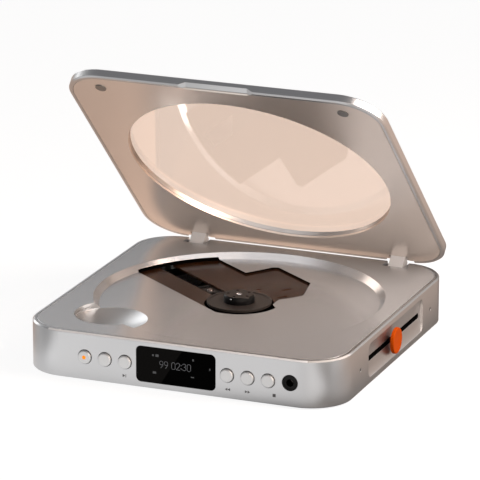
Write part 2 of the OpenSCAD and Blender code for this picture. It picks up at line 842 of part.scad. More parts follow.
module pickup_sled() {
    color(black) on_track() difference() {
        union() {
            translate([lens_u - 6, -9.4, 12.7]) cube([12, 18.8, 4.5]);
            // bushings on the guide rods
            for (w = [-rod_w, rod_w])
                translate([lens_u - 5, w, rod_z]) rotate([0, 90, 0]) cylinder(r = 1.9, h = 10);
            for (s = [-1, 1])
                translate([lens_u - 5, s > 0 ? 9.3 : -rod_w, rod_z - 1]) cube([10, rod_w - 9.3, 2]);
            // leg that carries the rack
            translate([lens_u - 6, 9.3, 12.7]) cube([12, rack_w - 1.5 - 9.3, 1.2]);
            // neck in the cover's slot
            translate([lens_u - 6, slot_low + 0.4, 17]) cube([12, slot_high - slot_low - 0.8, 2.1]);
        }
        for (w = [-rod_w, rod_w])
            translate([lens_u - 10, w, rod_z]) rotate([0, 90, 0]) cylinder(r = rod_r + 0.05, h = 20);
        // bed of the lens holder
        translate([lens_u - 4.6, -4, 15.2]) cube([9.2, 7.4, 5]);
    }
}

module lens_holder() {
    color(graphite) on_track() difference() {
        translate([lens_u - 4.3, -3.1, 15.9]) cube([8.6, 6.2, 2.6]);
        translate([lens_u, 0, 17.5]) cylinder(r = 1.95, h = 3);
    }
}

module objective_lens() {
    color([0.55, 0.6, 0.7]) on_track() translate([lens_u, 0, 17.5]) intersection() {
        cylinder(r = 1.95, h = 3);
        translate([0, 0, -1.6]) sphere(3.4);
    }
}

module spindle_shaft() {
    color(steel) translate([0, 0, 7.6]) cylinder(r = shaft_r, h = hub_top - 7.6 - 0.8);
}

module turntable_platter() {
    color(graphite) difference() {
        union() {
            translate([0, 0, platter_z]) cylinder(d = platter_d, h = platter_top - 0.25 - platter_z);
            translate([0, 0, platter_top - 0.26]) difference() {
                cylinder(d = platter_d, h = 0.26);
                translate([0, 0, -1]) cylinder(d = platter_d - 2.4, h = 3);
            }
        }
        translate([0, 0, platter_z - 1]) cylinder(r = shaft_r + eps, h = 4);
    }
}

module spindle_hub() {
    low = platter_top - 0.25;
    color(black) difference() {
        union() {
            translate([0, 0, low]) cylinder(d = hub_d, h = hub_wall_top - low);
            // lead-in above the wall that centres the disc
            translate([0, 0, hub_wall_top])
                cylinder(d1 = hub_d, d2 = hub_d - 0.5, h = hub_top - 0.5 - hub_wall_top);
            translate([0, 0, hub_top - 0.5]) cylinder(d1 = hub_d - 0.5, d2 = hub_d - 1.4, h = 0.5);
        }
        translate([0, 0, low - 1]) cylinder(r = shaft_r + eps, h = hub_top - low + 2);
        translate([0, 0, hub_top - 0.8]) cylinder(r = cap_r + eps, h = 2);
        // pockets of the three chrome balls
        for (a = ball_at) rotate([0, 0, a]) translate([hub_d / 2 - 1.33, 0, ball_z])
            rotate([0, 90, 0]) cylinder(r = 0.68, h = 2);
        // five small holes in the top
        for (a = [-24 : 72 : 264])
            rotate([0, 0, a]) translate([5.3, 0, hub_top - 0.4]) cylinder(r = 0.75, h = 2);
    }
}

// Bright cap on the end of the shaft
module hub_cap() {
    color(steel) translate([0, 0, hub_top - 0.8]) {
        cylinder(r = cap_r, h = 0.7);
        translate([0, 0, 0.7]) intersection() {
            translate([0, 0, -2.2]) sphere(sqrt(cap_r * cap_r + 2.2 * 2.2));
            cylinder(r = cap_r, h = 1);
        }
    }
}

module hub_balls() {
    color(steel) for (a = ball_at)
        rotate([0, 0, a]) translate([hub_d / 2 - 0.7, 0, ball_z]) sphere(0.62);
}

body_shell();
deck_plate();
bottom_cover();
bottom_screws();
rubber_feet();
display_window();
display_module();
headphone_jack();
usb_socket();
main_board();
button_board();
tact_switches();
battery_pack();
left_hinge_bracket();
right_hinge_bracket();
hinge_pins();
hinge_bracket_screws();
catch_magnets();
lid_sensor();
mechanism_chassis();
mechanism_cover();
damper_grommets();
chassis_screws();
guide_rods();
spindle_motor();
sled_motor();
gear_axle();
slide_potentiometer();
side_screws();
lid_frame();
lid_inner_panel();
window_pane();
lid_magnets();
left_hinge_arm();
right_hinge_arm();
spindle_shaft();
turntable_platter();
spindle_hub();
hub_cap();
hub_balls();
pickup_sled();
sled_rack();
lens_holder();
objective_lens();
reduction_gear();
motor_pinion();
power_button();
mode_button();
play_button();
previous_button();
next_button();
stop_button();
power_indicator();
volume_knob();
slider_stem();
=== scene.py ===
# %% [markdown]
# # A square aluminium disc player with a window lid
#
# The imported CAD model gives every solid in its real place, in metres: X to the right, Y to the
# back, Z up. This script keeps those solids, gives each one the finish of the real part, and
# builds the pieces that a solid is too plain for: softly rounded keys, the power lamp, the volume
# knob, the socket's sleeve, the lens, the printed signs and the display's figures. It ends with
# the light of a small photo studio.

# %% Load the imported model
import math

import bmesh
import bpy
from mathutils import Matrix, Vector


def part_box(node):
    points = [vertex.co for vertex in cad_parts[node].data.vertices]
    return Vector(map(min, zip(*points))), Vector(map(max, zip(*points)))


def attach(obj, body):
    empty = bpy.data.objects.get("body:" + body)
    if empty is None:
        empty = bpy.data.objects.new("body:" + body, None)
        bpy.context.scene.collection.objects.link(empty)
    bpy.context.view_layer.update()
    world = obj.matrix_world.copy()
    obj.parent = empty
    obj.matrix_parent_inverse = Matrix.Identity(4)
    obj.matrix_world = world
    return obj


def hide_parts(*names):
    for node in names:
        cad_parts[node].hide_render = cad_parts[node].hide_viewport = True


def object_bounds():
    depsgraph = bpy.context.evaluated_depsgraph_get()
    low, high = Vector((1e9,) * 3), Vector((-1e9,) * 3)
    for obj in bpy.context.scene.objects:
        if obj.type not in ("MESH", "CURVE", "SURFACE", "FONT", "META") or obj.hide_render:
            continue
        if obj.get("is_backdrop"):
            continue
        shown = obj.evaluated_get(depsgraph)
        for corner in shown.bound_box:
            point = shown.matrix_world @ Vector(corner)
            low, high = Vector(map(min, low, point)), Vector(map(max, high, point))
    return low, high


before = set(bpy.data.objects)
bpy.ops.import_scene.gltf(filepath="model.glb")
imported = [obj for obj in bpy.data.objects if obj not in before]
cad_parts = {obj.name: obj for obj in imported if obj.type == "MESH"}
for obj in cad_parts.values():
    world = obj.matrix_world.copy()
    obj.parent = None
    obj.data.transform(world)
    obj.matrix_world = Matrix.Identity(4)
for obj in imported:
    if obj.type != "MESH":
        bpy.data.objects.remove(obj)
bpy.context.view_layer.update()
MM = 0.001

# %% [markdown]
# ## The camera
#
# A photograph fixes its camera: the edges of a square box give the direction, and the way they
# run together gives the distance. Here that was solved from the corners of the body, the lid and
# the round well. A long lens from two metres away keeps the edges almost parallel.

# %% Camera
AZIMUTH = math.radians(21.6435)
ELEVATION = math.radians(17.1817)
ROLL = math.radians(0.1058)
DISTANCE = 1924.7 * MM
TARGET = Vector((0.3 * MM, 0.0, 50.839 * MM))
FOCAL_PIXELS = 4093.65
PHOTO_PIXELS = 480
SENSOR_WIDTH = 36.0
FARTHEST = 20.0

towards_camera = Vector((math.sin(AZIMUTH) * math.cos(ELEVATION),
                         -math.cos(AZIMUTH) * math.cos(ELEVATION),
                         math.sin(ELEVATION)))
camera_data = bpy.data.cameras.new("photo_camera")
camera_data.sensor_width = SENSOR_WIDTH
camera_data.lens = FOCAL_PIXELS / PHOTO_PIXELS * SENSOR_WIDTH
camera_data.clip_end = FARTHEST
camera = bpy.data.objects.new("photo_camera", camera_data)
bpy.context.scene.collection.objects.link(camera)
camera.location = TARGET + DISTANCE * towards_camera
camera.rotation_euler = (towards_camera.to_track_quat("Z", "Y").to_matrix()
                         @ Matrix.Rotation(ROLL, 3, "Z")).to_euler()
bpy.context.scene.camera = camera
print(f"lens {camera_data.lens:.1f} mm, {DISTANCE:.2f} m away")

# %% [markdown]
# ## Helpers for finishes
#
# Colours are picked as sRGB hex values, but shaders add light, so they want linear
# numbers. And a node is always made in the same three moves: create it, set it, link it. One
# small function does that for every kind of node. Every finish of the player starts in an empty
# material and ends in one Principled shader.

# %% Colours and nodes
def linear(hex_colour):
    """The linear RGBA of an sRGB hex colour."""
    parts = [int(hex_colour[i:i + 2], 16) / 255 for i in (1, 3, 5)]
    return (*(p / 12.92 if p <= 0.04045 else ((p + 0.055) / 1.055) ** 2.4 for p in parts), 1.0)


def add_node(tree, kind, inputs=None, **settings):
    """Adds a node, sets its settings, and fills or links its inputs."""
    node = tree.nodes.new(kind)
    for name, value in settings.items():
        setattr(node, name, value)
    for socket, value in (inputs or {}).items():
        if isinstance(value, bpy.types.NodeSocket):
            tree.links.new(value, node.inputs[socket])
        else:
            node.inputs[socket].default_value = value
    return node


def start_material(name):
    """An empty node material and its tree."""
    finish = bpy.data.materials.new(name)
    finish.use_nodes = True
    finish.node_tree.nodes.clear()
    return finish, finish.node_tree


def finish_surface(tree, **sockets):
    """Ends a tree in one Principled shader with these sockets."""
    names = {"base": "Base Color", "metallic": "Metallic", "roughness": "Roughness",
             "ior": "IOR", "normal": "Normal", "transmission": "Transmission Weight",
             "specular": "Specular IOR Level", "emission": "Emission Color",
             "emission_strength": "Emission Strength"}
    shader = add_node(tree, "ShaderNodeBsdfPrincipled",
                      {names[key]: value for key, value in sockets.items()})
    add_node(tree, "ShaderNodeOutputMaterial", {"Surface": shader.outputs[0]})
    return shader

# %% [markdown]
# ## Aluminium
#
# The body and the lid look like aluminium that was milled, blasted with fine glass beads and then
# anodised in its natural colour. Blasting leaves a grain of about 0.05 mm, drawn here at 0.2 mm so
# that it shows. It scatters a reflection into a soft sheen, and anodising keeps it even. Metal
# has no colour of its own but that of its reflection, so the work is in roughness and grain.
# Real edges are broken by a few tenths of a millimetre: the Bevel node rounds the shading there,
# so that each edge catches a thin line of light.
#
# One function makes all the grades, and each was matched to the photo: a soft grey shell, a finer
# deck with a clearer mirror image of the lid, a lid panel tinted warm as painted warm light, a
# well wall made paler as painted light, a finger scoop made darker as painted shade, matt keys and
# nearly white hinge arms. How the real ones are worked isn't known.

# %% Blasted and anodised aluminium
CLOUD_MM = 30


def anodised_aluminium(name, colour, shade, roughness, metallic=1.0, grain_mm=0.2, edge_mm=0.25,
                       depth=0.12):
    """Bead-blasted, anodised aluminium with broken edges."""
    finish, tree = start_material(name)
    place = add_node(tree, "ShaderNodeTexCoord").outputs["Object"]
    grain = add_node(tree, "ShaderNodeTexNoise",
                     {"Vector": place, "Scale": 1 / (grain_mm * MM), "Detail": 2.0})
    cloud = add_node(tree, "ShaderNodeTexNoise",
                     {"Vector": place, "Scale": 1 / (CLOUD_MM * MM), "Detail": 1.0})
    tone = add_node(tree, "ShaderNodeMix",
                    {"Factor": cloud.outputs["Fac"], 6: linear(colour), 7: linear(shade)},
                    data_type="RGBA")
    sheen = add_node(tree, "ShaderNodeMapRange",
                     {"Value": grain.outputs["Fac"], "To Min": roughness - 0.03,
                      "To Max": roughness + 0.03})
    edge = add_node(tree, "ShaderNodeBevel", {"Radius": edge_mm * MM}, samples=6)
    bump = add_node(tree, "ShaderNodeBump",
                    {"Height": grain.outputs["Fac"], "Strength": depth, "Distance": 0.02 * MM,
                     "Normal": edge.outputs["Normal"]})
    finish_surface(tree, base=tone.outputs[2], metallic=metallic,
                   roughness=sheen.outputs["Result"], normal=bump.outputs["Normal"])
    return finish


shell_aluminium = anodised_aluminium("blasted_aluminium", "#D2D2D3", "#CCCCCD", 0.29)
deck_aluminium = anodised_aluminium("satin_deck_aluminium", "#DADCDF", "#D4D6D9", 0.22,
                                    metallic=0.75, depth=0.08)
# the lid panel's colour is tinted warm: painted warm light
panel_aluminium_painted_warm_light = anodised_aluminium("satin_lid_aluminium_painted_warm_light", "#F8EEE6", "#F2E8E0", 0.3,
                                     metallic=0.7)
# the well wall: smoother, and paler than the deck as painted light
well_wall_painted_light = anodised_aluminium("cut_aluminium_painted_light", "#E0E6EC", "#DAE0E6", 0.18,
                                   metallic=0.85, depth=0.04)
# the finger scoop: rougher, and darker than the deck as painted shade in the hollow
scoop_painted_shade = anodised_aluminium("scoop_aluminium_painted_shade", "#BEC0C2", "#B8BABC", 0.3,
                                     metallic=0.85, depth=0.08)
key_aluminium = anodised_aluminium("key_aluminium", "#E2E2E2", "#DCDCDC", 0.5, edge_mm=0.1)
# pale hinge arms; on the front's upper edge this pale finish is a painted highlight
pale_aluminium_and_painted_highlight = anodised_aluminium("hinge_aluminium_and_painted_highlight", "#F8F8FA", "#F2F2F4", 0.35,
                                      metallic=0.1, edge_mm=0.15)

# %% [markdown]
# ## Plain metals
#
# Screws, rods and motor cans are drawn or turned steel with fine lines along the way they were
# worked. The hub's cap and balls and the magnets are plated: mirrors with almost no roughness.

# %% Steel and plating
def turned_steel(name, colour, roughness, line_mm=0.15, along=(1, 1, 12)):
    """Bare steel with fine tool lines, stretched along one axis."""
    finish, tree = start_material(name)
    place = add_node(tree, "ShaderNodeTexCoord").outputs["Object"]
    stretched = add_node(tree, "ShaderNodeMapping", {"Vector": place, "Scale": along})
    lines = add_node(tree, "ShaderNodeTexNoise",
                     {"Vector": stretched.outputs["Vector"], "Scale": 1 / (line_mm * 4 * MM),
                      "Detail": 3.0})
    sheen = add_node(tree, "ShaderNodeMapRange",
                     {"Value": lines.outputs["Fac"], "To Min": roughness - 0.06,
                      "To Max": roughness + 0.08})
    edge = add_node(tree, "ShaderNodeBevel", {"Radius": 0.08 * MM}, samples=4)
    bump = add_node(tree, "ShaderNodeBump",
                    {"Height": lines.outputs["Fac"], "Strength": 0.15, "Distance": 0.01 * MM,
                     "Normal": edge.outputs["Normal"]})
    finish_surface(tree, base=linear(colour), metallic=1.0, roughness=sheen.outputs["Result"],
                   normal=bump.outputs["Normal"])
    return finish


tool_steel = turned_steel("turned_steel", "#B9BABC", 0.28)
chrome_plate = turned_steel("chrome_plate", "#E4E4E6", 0.1)
magnet_nickel = turned_steel("nickel_plate", "#8E8D8B", 0.3)

# %% [markdown]
# ## Plastics and rubber
#
# A moulded plastic has a skin: a little gloss over a spark-eroded texture of about 0.1 mm, drawn
# at 0.25 mm so that it shows. The orange knob is satin ABS. The headphone ring, the hub and the
# sled are black acetal, a plastic with a waxy gloss, and the platter is a graphite grey one; that
# grey on the hub's top is painted light. The chassis and the slider's body are a dull black that
# light gets lost in; the slider's body, deep in its slot, is made black as painted shade, and the
# same black is painted on the deck's cut edges and the slot's walls as painted shade. The
# mechanism's cover is a smoked polycarbonate sheet, smooth as glass, so it shows a dark brown
# mirror image of the lid. The gears are white nylon. The boards have a green lacquer over woven
# glass, the battery a grey shrunk film, and the feet are rubber.

# %% Moulded plastic
PATCH_MM = 12


def moulded_plastic(name, colour, shade, roughness, texture_mm=0.25, depth=0.15, edge_mm=0.12,
                    **more):
    """Moulded plastic: a spark-eroded skin and broken edges."""
    finish, tree = start_material(name)
    place = add_node(tree, "ShaderNodeTexCoord").outputs["Object"]
    skin = add_node(tree, "ShaderNodeTexNoise",
                    {"Vector": place, "Scale": 1 / (texture_mm * MM), "Detail": 3.0})
    cloud = add_node(tree, "ShaderNodeTexNoise",
                     {"Vector": place, "Scale": 1 / (PATCH_MM * MM), "Detail": 2.0})
    tone = add_node(tree, "ShaderNodeMix",
                    {"Factor": cloud.outputs["Fac"], 6: linear(colour), 7: linear(shade)},
                    data_type="RGBA")
    sheen = add_node(tree, "ShaderNodeMapRange",
                     {"Value": skin.outputs["Fac"], "To Min": roughness - 0.04,
                      "To Max": roughness + 0.04})
    edge = add_node(tree, "ShaderNodeBevel", {"Radius": edge_mm * MM}, samples=4)
    bump = add_node(tree, "ShaderNodeBump",
                    {"Height": skin.outputs["Fac"], "Strength": depth, "Distance": 0.02 * MM,
                     "Normal": edge.outputs["Normal"]})
    finish_surface(tree, base=tone.outputs[2], roughness=sheen.outputs["Result"],
                   normal=bump.outputs["Normal"], **more)
    return finish


orange_abs = moulded_plastic("orange_abs", "#B04406", "#A84006", 0.42, ior=1.5,
                             specular=0.02)
black_acetal = moulded_plastic("black_acetal", "#070606", "#0A0909", 0.36, ior=1.48,
                               specular=0.2)
# dull black; on the deck's cut edges, the slot's walls and the slider's body it is painted shade
black_matt_and_painted_shade = moulded_plastic("black_matt_and_painted_shade", "#030303", "#060505", 0.85, ior=1.3, specular=0.05)
# a grey that mirrors nothing, for two places where a lamp's mirror image clipped to white
matt_edge = moulded_plastic("matt_anodised_edge", "#C4C2C0", "#BEBCBA", 0.7, depth=0.05,
                            specular=0.03)
# graphite grey; on the hub's top it is painted light
graphite_acetal_and_painted_light = moulded_plastic("graphite_acetal_and_painted_light", "#2E2825", "#332D29", 0.42, ior=1.48)
smoked_sheet = moulded_plastic("smoked_polycarbonate", "#3C2415", "#382113", 0.2, depth=0.02,
                               edge_mm=0.15, ior=1.47, specular=0.28)
white_nylon = moulded_plastic("white_nylon", "#E9E8E0", "#DEDCD2", 0.45, ior=1.53)
black_rubber = moulded_plastic("black_rubber", "#1C1C1C", "#242424", 0.7, texture_mm=0.4,
                               depth=0.3, ior=1.5)
battery_wrap = moulded_plastic("battery_wrap", "#40474F", "#373D45", 0.3, ior=1.5)
board_resist = moulded_plastic("green_solder_resist", "#0C2416", "#091D12", 0.35, texture_mm=0.8,
                               depth=0.4, ior=1.55)

# %% [markdown]
# ## Glass and acrylic
#
# The lid's window is clear acrylic, 1 mm thick, faintly warm. The display is black glass with a
# painted reflection on it: a slightly lighter field with a slanting edge. The laser's lens is
# coated glass: from a step away it is no clear lens but a small grey mirror, so it is a glossy
# solid with a high index.

# %% Clear and dark glass
def clear_sheet(name, colour, ior):
    """A clear sheet that tints what is seen through it."""
    finish, tree = start_material(name)
    finish_surface(tree, base=linear(colour), ior=ior, roughness=0.0, transmission=1.0)
    return finish


window_acrylic = clear_sheet("window_acrylic", "#F5DCCB", 1.49)
lens_glass = moulded_plastic("coated_lens_glass", "#5A4A44", "#54453F", 0.08, depth=0.0,
                             edge_mm=0.05, ior=1.8)


# the painted reflection's edge runs through (3.34, 20.9) and (-6.76, 4.7) mm: X minus the lean
# times Z is constant
REFLECTION_LEAN = 0.624
REFLECTION_FROM, REFLECTION_TO = -9.9 * MM, -9.5 * MM


def display_glass():
    """Black glass; a painted reflection with a slanting edge lightens its left part."""
    finish, tree = start_material("display_glass")
    place = add_node(tree, "ShaderNodeSeparateXYZ",
                     {"Vector": add_node(tree, "ShaderNodeTexCoord").outputs["Object"]})
    lean = add_node(tree, "ShaderNodeMath", {0: place.outputs["Z"], 1: -REFLECTION_LEAN},
                    operation="MULTIPLY")
    across = add_node(tree, "ShaderNodeMath",
                      {0: place.outputs["X"], 1: lean.outputs[0]}, operation="ADD")
    painted_reflection = add_node(tree, "ShaderNodeMapRange",
                    {"Value": across.outputs[0], "From Min": REFLECTION_FROM, "From Max": REFLECTION_TO})
    # painted reflection: the glass's left part is a lighter black than the rest
    tone = add_node(tree, "ShaderNodeMix",
                    {"Factor": painted_reflection.outputs["Result"], 6: linear("#1B1B1B"),
                     7: linear("#020202")}, data_type="RGBA")
    finish_surface(tree, base=tone.outputs[2], roughness=0.08, ior=1.5, specular=0.01)
    return finish


black_glass = display_glass()

# %% [markdown]
# ## Light that things give, and ink
#
# The display's figures and the power key's lamp shine weakly. The signs under the keys are
# printed with a grey ink that lies on the metal.

# %% Glow and ink
def glowing(name, colour, strength):
    """A small lit area: its own colour and some light of its own."""
    finish, tree = start_material(name)
    finish_surface(tree, base=linear(colour), roughness=0.4, emission=linear(colour),
                   emission_strength=strength)
    return finish


display_glow = glowing("display_figures", "#6C6E72", 0.28)
display_dim = glowing("display_dim_marks", "#4A4C4E", 0.3)
lamp_glow = glowing("orange_lamp", "#F58A0C", 0.8)
sign_ink = moulded_plastic("grey_ink", "#5E5E60", "#68686A", 0.6, depth=0.05)

# %% [markdown]
# ## Finishes for the solids
#
# Every solid whose shape is right stays, and only its material changes. The table says which
# finish each one has. A few faces get a finish of their own, to match the photo's tones in this
# light, and the real part may not have it. They are chosen by where they lie and which way they
# look.

# %% Give each solid its finish
finish_of = {
    shell_aluminium: ["body_shell", "bottom_cover", "lid_frame"],
    deck_aluminium: ["deck_plate"],
    panel_aluminium_painted_warm_light: ["lid_inner_panel"],
    pale_aluminium_and_painted_highlight: ["left_hinge_arm", "right_hinge_arm"],
    key_aluminium: ["power_button", "mode_button", "play_button", "previous_button",
                    "next_button", "stop_button"],
    tool_steel: ["bottom_screws", "usb_socket", "left_hinge_bracket", "right_hinge_bracket",
                 "hinge_pins", "hinge_bracket_screws", "chassis_screws", "guide_rods",
                 "spindle_motor", "sled_motor", "gear_axle", "spindle_shaft"],
    chrome_plate: ["hub_cap", "hub_balls"],
    magnet_nickel: ["catch_magnets", "lid_magnets"],
    orange_abs: ["volume_knob", "power_indicator"],
    black_acetal: ["headphone_jack", "pickup_sled", "spindle_hub", "slider_stem", "side_screws"],
    # the slider's body is made black as painted shade in its slot
    black_matt_and_painted_shade: ["slide_potentiometer", "mechanism_chassis"],
    graphite_acetal_and_painted_light: ["display_module", "tact_switches", "lens_holder", "turntable_platter"],
    smoked_sheet: ["mechanism_cover"],
    white_nylon: ["sled_rack", "reduction_gear", "motor_pinion"],
    black_rubber: ["rubber_feet", "damper_grommets"],
    battery_wrap: ["battery_pack"],
    board_resist: ["main_board", "button_board", "lid_sensor"],
    window_acrylic: ["window_pane"],
    black_glass: ["display_window"],
    lens_glass: ["objective_lens"],
}
for finish, nodes in finish_of.items():
    for node in nodes:
        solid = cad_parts[node]
        solid.data.materials.clear()
        solid.data.materials.append(finish)
dressed = sum(len(nodes) for nodes in finish_of.values())
print(dressed, "solids dressed of", len(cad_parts))


def finish_faces(node, finish, chosen):
    """Gives those faces of a solid that a test chooses another finish."""
    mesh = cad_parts[node].data
    mesh.materials.append(finish)
    for face in mesh.polygons:
        if chosen(face.center, face.normal):
            face.material_index = len(mesh.materials) - 1

# %% Faces with a finish of their own
WELL_OUTER = 74 * MM
WELL_FLOOR = 20.5 * MM
SCOOP_MIDDLE = Vector((-45.5, -47.0)) * MM
SCOOP_RADIUS = 17.5 * MM
SCOOP_BACK = -20 * MM
SLOT_INSIDE = 70 * MM
SLOT_HALF_LENGTH = 37 * MM
SLOT_MIDDLE_HEIGHT = 12 * MM
SLOT_HALF_HEIGHT = 1.5 * MM
CHANNEL_FLOOR, SIDE_FACE = 76.5 * MM, 78.45 * MM
CHANNEL_END_FROM, CHANNEL_END_TO = 30 * MM, 45 * MM
SHELL_TOP = 22 * MM

# the well's sloping wall is smoother and paler than the deck, its paleness painted light; the
# scoop is darker, painted shade; the cut-out's edges are painted black, painted shade
finish_faces("deck_plate", well_wall_painted_light,
             lambda at, out: 0.5 < out.z < 0.9 and math.hypot(at.x, at.y) < WELL_OUTER)
finish_faces("deck_plate", scoop_painted_shade,
             lambda at, out: (at.xy - SCOOP_MIDDLE).length < SCOOP_RADIUS
             and (at.z < WELL_FLOOR - 0.05 * MM or abs(out.z) < 0.1))
finish_faces("deck_plate", black_matt_and_painted_shade,
             lambda at, out: abs(out.z) < 0.1 and at.y > SCOOP_BACK
             and math.hypot(at.x, at.y) < WELL_OUTER)
# the walls of the slider's slot are painted black: painted shade
finish_faces("body_shell", black_matt_and_painted_shade,
             lambda at, out: at.x > SLOT_INSIDE and abs(at.y) < SLOT_HALF_LENGTH
             and abs(out.x) < 0.3 and abs(at.z - SLOT_MIDDLE_HEIGHT) < SLOT_HALF_HEIGHT)
# the front's upper edge is painted as pale as the hinge arms: a painted highlight along the edge
finish_faces("body_shell", pale_aluminium_and_painted_highlight,
             lambda at, out: 0.3 < out.z < 0.95 and out.y < -0.4 and at.z > SHELL_TOP
             and abs(out.x) < 0.2)
# its right corner and the far end of the volume channel are left matt
finish_faces("body_shell", matt_edge,
             lambda at, out: 0.3 < out.z < 0.95 and out.y < -0.1 and out.x >= 0.2
             and at.z > SHELL_TOP)
finish_faces("body_shell", matt_edge,
             lambda at, out: CHANNEL_FLOOR < at.x < SIDE_FACE
             and CHANNEL_END_FROM < at.y < CHANNEL_END_TO and out.y < -0.12)
# the hub's top is made a little paler than its sides, to match the photo
# painted light: the hub's top is paler than its sides, as a lit top looks
hub_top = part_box("spindle_hub")[1].z
finish_faces("spindle_hub", graphite_acetal_and_painted_light,
             lambda at, out: out.z > 0.9 and at.z > hub_top - 0.3 * MM)
for node in ("deck_plate", "body_shell", "spindle_hub"):
    print(node, "has", len(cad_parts[node].data.materials), "finishes")

# %% [markdown]
# ## A helper for new pieces
#
# A new piece is a mesh, a finish, the CAD body that it moves with, and the solids that it stands
# for, which are hidden. Faces that meet at less than the given angle are shaded as one curve.

# %% Make a piece
def make_piece(name, points, faces, finish, body, stands_for=(), smooth=40):
    """A mesh in metres that rides on a CAD body."""
    mesh = bpy.data.meshes.new(name)
    mesh.from_pydata([tuple(p) for p in points], [], faces)
    shape = bmesh.new()
    shape.from_mesh(mesh)
    bmesh.ops.remove_doubles(shape, verts=shape.verts, dist=1e-7)
    bmesh.ops.recalc_face_normals(shape, faces=shape.faces)
    shape.to_mesh(mesh)
    shape.free()
    mesh.polygons.foreach_set("use_smooth", [True] * len(mesh.polygons))
    mesh.set_sharp_from_angle(angle=math.radians(smooth))
    mesh.materials.append(finish)
    piece = bpy.data.objects.new(name, mesh)
    bpy.context.scene.collection.objects.link(piece)
    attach(piece, body)
    if stands_for:
        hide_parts(*stands_for)
    return piece


def lathe(profile, centre, axis, steps=96):
    """Points and faces of a profile [(radius, height)] in mm, turned round an axis."""
    axis = Vector(axis).normalized()
    side = axis.orthogonal().normalized()
    other = axis.cross(side)
    points, faces = [], []
    for radius, height in profile:
        for k in range(steps):
            turn = 2 * math.pi * k / steps
            spoke = side * math.cos(turn) + other * math.sin(turn)
            points.append(Vector(centre) + (axis * height + spoke * radius) * MM)
    for ring in range(len(profile) - 1):
        for k in range(steps):
            a, b = ring * steps + k, ring * steps + (k + 1) % steps
            faces.append((a, b, b + steps, a + steps))
    return points, faces


def quarter(radius, height, fillet, start, end, steps=6):
    """Points of a fillet arc about (radius, height), between two angles in degrees."""
    turns = [math.radians(start + (end - start) * k / steps) for k in range(steps + 1)]
    return [(radius + fillet * math.cos(t), height + fillet * math.sin(t)) for t in turns]

# %% [markdown]
# ## The keys
#
# Six round keys stand 1.2 mm out of the front. On the real ones the rim of the cap is rounded
# by 0.7 mm and the face is very slightly domed, and that is what gives each key its
# bright upper edge and its dark lower one. A profile turned round the key's axis makes this.

# %% Keys
KEYS = {"power": -45.2, "mode": -35.2, "play": -25.2, "previous": 25.2, "next": 35.2,
        "stop": 45.2}
KEY_HEIGHT = 11.9
KEY_RADIUS = 3.2
FRONT = -78.5
KEY_REACH = 1.2
INNER_WALL = -75.1
LAMP_RADIUS = 0.88
RIM = 0.7
DOME = 0.06

for key, x in KEYS.items():
    low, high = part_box(key + "_button")
    face = -low.y / MM + FRONT
    depth = (high.y - low.y) / MM
    flange = (high.x - low.x) / MM / 2
    hole = LAMP_RADIUS + 0.02 if key == "power" else 0.0
    # heights run out of the front, from the flange's back at 0
    flange_front = depth - KEY_REACH - (INNER_WALL - FRONT) + 0.1
    profile = [(hole, 0.0), (flange, 0.0), (flange, flange_front - 0.2),
               (KEY_RADIUS, flange_front - 0.2),
               *quarter(KEY_RADIUS - RIM, depth - RIM, RIM, 0, 78, 8)]
    profile += [((KEY_RADIUS - RIM) * share, depth - DOME * share ** 2)
                for share in (0.8, 0.6, 0.4)]
    profile += [(hole, depth)]
    if hole:
        profile.append((hole, 0.0))
    points, faces = lathe(profile, (x * MM, high.y, KEY_HEIGHT * MM), (0, -1, 0))
    make_piece(key + "_key_cap", points, faces, key_aluminium, key,
               [key + "_button"])
print("key face stands", round(face, 2), "mm out of the front")

# %% The power key's lamp
low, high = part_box("power_indicator")
profile = [(0, 0), (LAMP_RADIUS, 0), (LAMP_RADIUS, (high.y - low.y) / MM - 0.1),
           (LAMP_RADIUS * 0.8, (high.y - low.y) / MM), (0, (high.y - low.y) / MM + 0.05)]
points, faces = lathe(profile, (KEYS["power"] * MM, high.y, KEY_HEIGHT * MM), (0, -1, 0), 48)
make_piece("power_lamp", points, faces, lamp_glow, "power",
           ["power_indicator"])

# %% [markdown]
# ## The volume knob
#
# An orange disc on a thin stem. Its rim is rounded and its face is a shallow dish, so that a
# thumb can push it along the slot.

# %% Knob
low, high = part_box("volume_knob")
knob_radius = (high.y - low.y) / MM / 2
knob_depth = (high.x - low.x) / MM
knob_centre = (low.x, (low.y + high.y) / 2, (low.z + high.z) / 2)
profile = [(0, 0), (knob_radius - 0.4, 0), *quarter(knob_radius - 0.4, 0.4, 0.4, -90, 0),
           *quarter(knob_radius - 0.5, knob_depth - 0.5, 0.5, 0, 90),
           (knob_radius * 0.8, knob_depth - 0.06), (knob_radius * 0.5, knob_depth - 0.2),
           (0, knob_depth - 0.26)]
points, faces = lathe(profile, knob_centre, (1, 0, 0))
make_piece("volume_knob_cap", points, faces, orange_abs, "volume",
           ["volume_knob"])
print("knob", round(2 * knob_radius, 1), "mm across,", round(knob_depth, 1), "mm thick")

# %% [markdown]
# ## The headphone socket
#
# Deep inside the black ring of the socket sits the metal sleeve that the plug slides through.
# The ring is the solid's own, and the sleeve is a profile turned round the bore's axis.

# %% Socket sleeve
JACK_X, JACK_Z = 55.75, 12.2
SLEEVE_OUTER, SLEEVE_BORE = 1.79, 1.62
SLEEVE_FRONT, SLEEVE_BACK = -6.0, -11.0
sleeve = [(SLEEVE_OUTER, SLEEVE_FRONT - 0.2), (SLEEVE_OUTER, SLEEVE_FRONT),
          (SLEEVE_BORE, SLEEVE_FRONT), (SLEEVE_BORE, SLEEVE_BACK), (SLEEVE_OUTER, SLEEVE_BACK)]
points, faces = lathe(sleeve, (JACK_X * MM, FRONT * MM, JACK_Z * MM), (0, -1, 0), 64)
make_piece("socket_sleeve", points, faces, tool_steel, "base")
print("sleeve", SLEEVE_FRONT - SLEEVE_BACK, "mm long")

